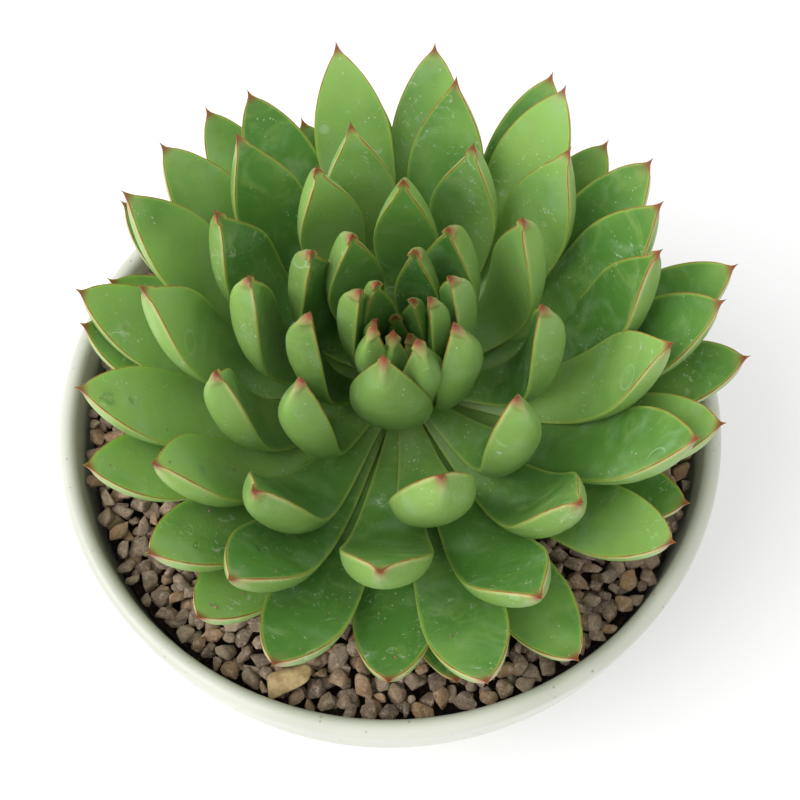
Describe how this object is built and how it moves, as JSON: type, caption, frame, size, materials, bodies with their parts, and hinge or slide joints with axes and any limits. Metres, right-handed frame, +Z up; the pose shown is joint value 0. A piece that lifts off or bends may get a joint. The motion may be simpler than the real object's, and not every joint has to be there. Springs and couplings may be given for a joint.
{
  "type": "potted succulent",
  "caption": "Rosette succulent with fleshy pointed leaves, rooted in a round glazed bowl of potting mix and top-dressed with gravel; stands on a flat base.",
  "frame": {"origin": "centre of the flat underside of the pot", "axes": "+Z up out of the pot; +Y away from the side that the rosette leans towards; +X to the right when looking along +Y"},
  "size_m": [0.142, 0.142, 0.1132],
  "materials": {
    "pot_glaze": "satin pale sage-grey stoneware glaze with fine specks",
    "potting_mix": "dark damp gritty potting mix",
    "gravel": "dry matt pinkish-brown crushed lava gravel",
    "stem": "dull brown-green woody stem and pale roots",
    "heart_leaf": "fleshy mid-green leaf with a thin waxy bloom and red tips",
    "leaf": "fleshy mid-green leaf, satin, yellow-green towards the edge, with a thin red-brown margin and tip"
  },
  "bodies": {
    "root": {"pot": "pot_glaze", "potting_mix": "potting_mix", "gravel": "gravel", "stem_and_roots": "stem", "heart": "heart_leaf", "leaf_01": "leaf", "leaf_02": "leaf", "leaf_03": "leaf", "leaf_04": "leaf", "leaf_05": "leaf", "leaf_06": "leaf", "leaf_07": "leaf", "leaf_08": "leaf", "leaf_09": "leaf", "leaf_10": "leaf", "leaf_11": "leaf", "leaf_12": "leaf", "leaf_13": "leaf", "leaf_14": "leaf", "leaf_15": "leaf", "leaf_16": "leaf", "leaf_17": "leaf", "leaf_18": "leaf", "leaf_19": "leaf", "leaf_20": "leaf", "leaf_21": "leaf", "leaf_22": "leaf", "leaf_23": "leaf", "leaf_24": "leaf", "leaf_25": "leaf", "leaf_26": "leaf", "leaf_27": "leaf", "leaf_28": "leaf", "leaf_29": "leaf", "leaf_30": "leaf", "leaf_31": "leaf", "leaf_32": "leaf", "leaf_33": "leaf", "leaf_34": "leaf", "leaf_35": "leaf", "leaf_36": "leaf", "leaf_37": "leaf", "leaf_38": "leaf", "leaf_39": "leaf", "leaf_40": "leaf", "leaf_41": "leaf", "leaf_42": "leaf", "leaf_43": "leaf", "leaf_44": "leaf", "leaf_45": "leaf", "leaf_46": "leaf", "leaf_47": "leaf", "leaf_48": "leaf", "leaf_49": "leaf", "leaf_50": "leaf", "leaf_51": "leaf", "leaf_52": "leaf", "leaf_53": "leaf", "leaf_54": "leaf", "leaf_55": "leaf"}
  },
  "joints": []
}
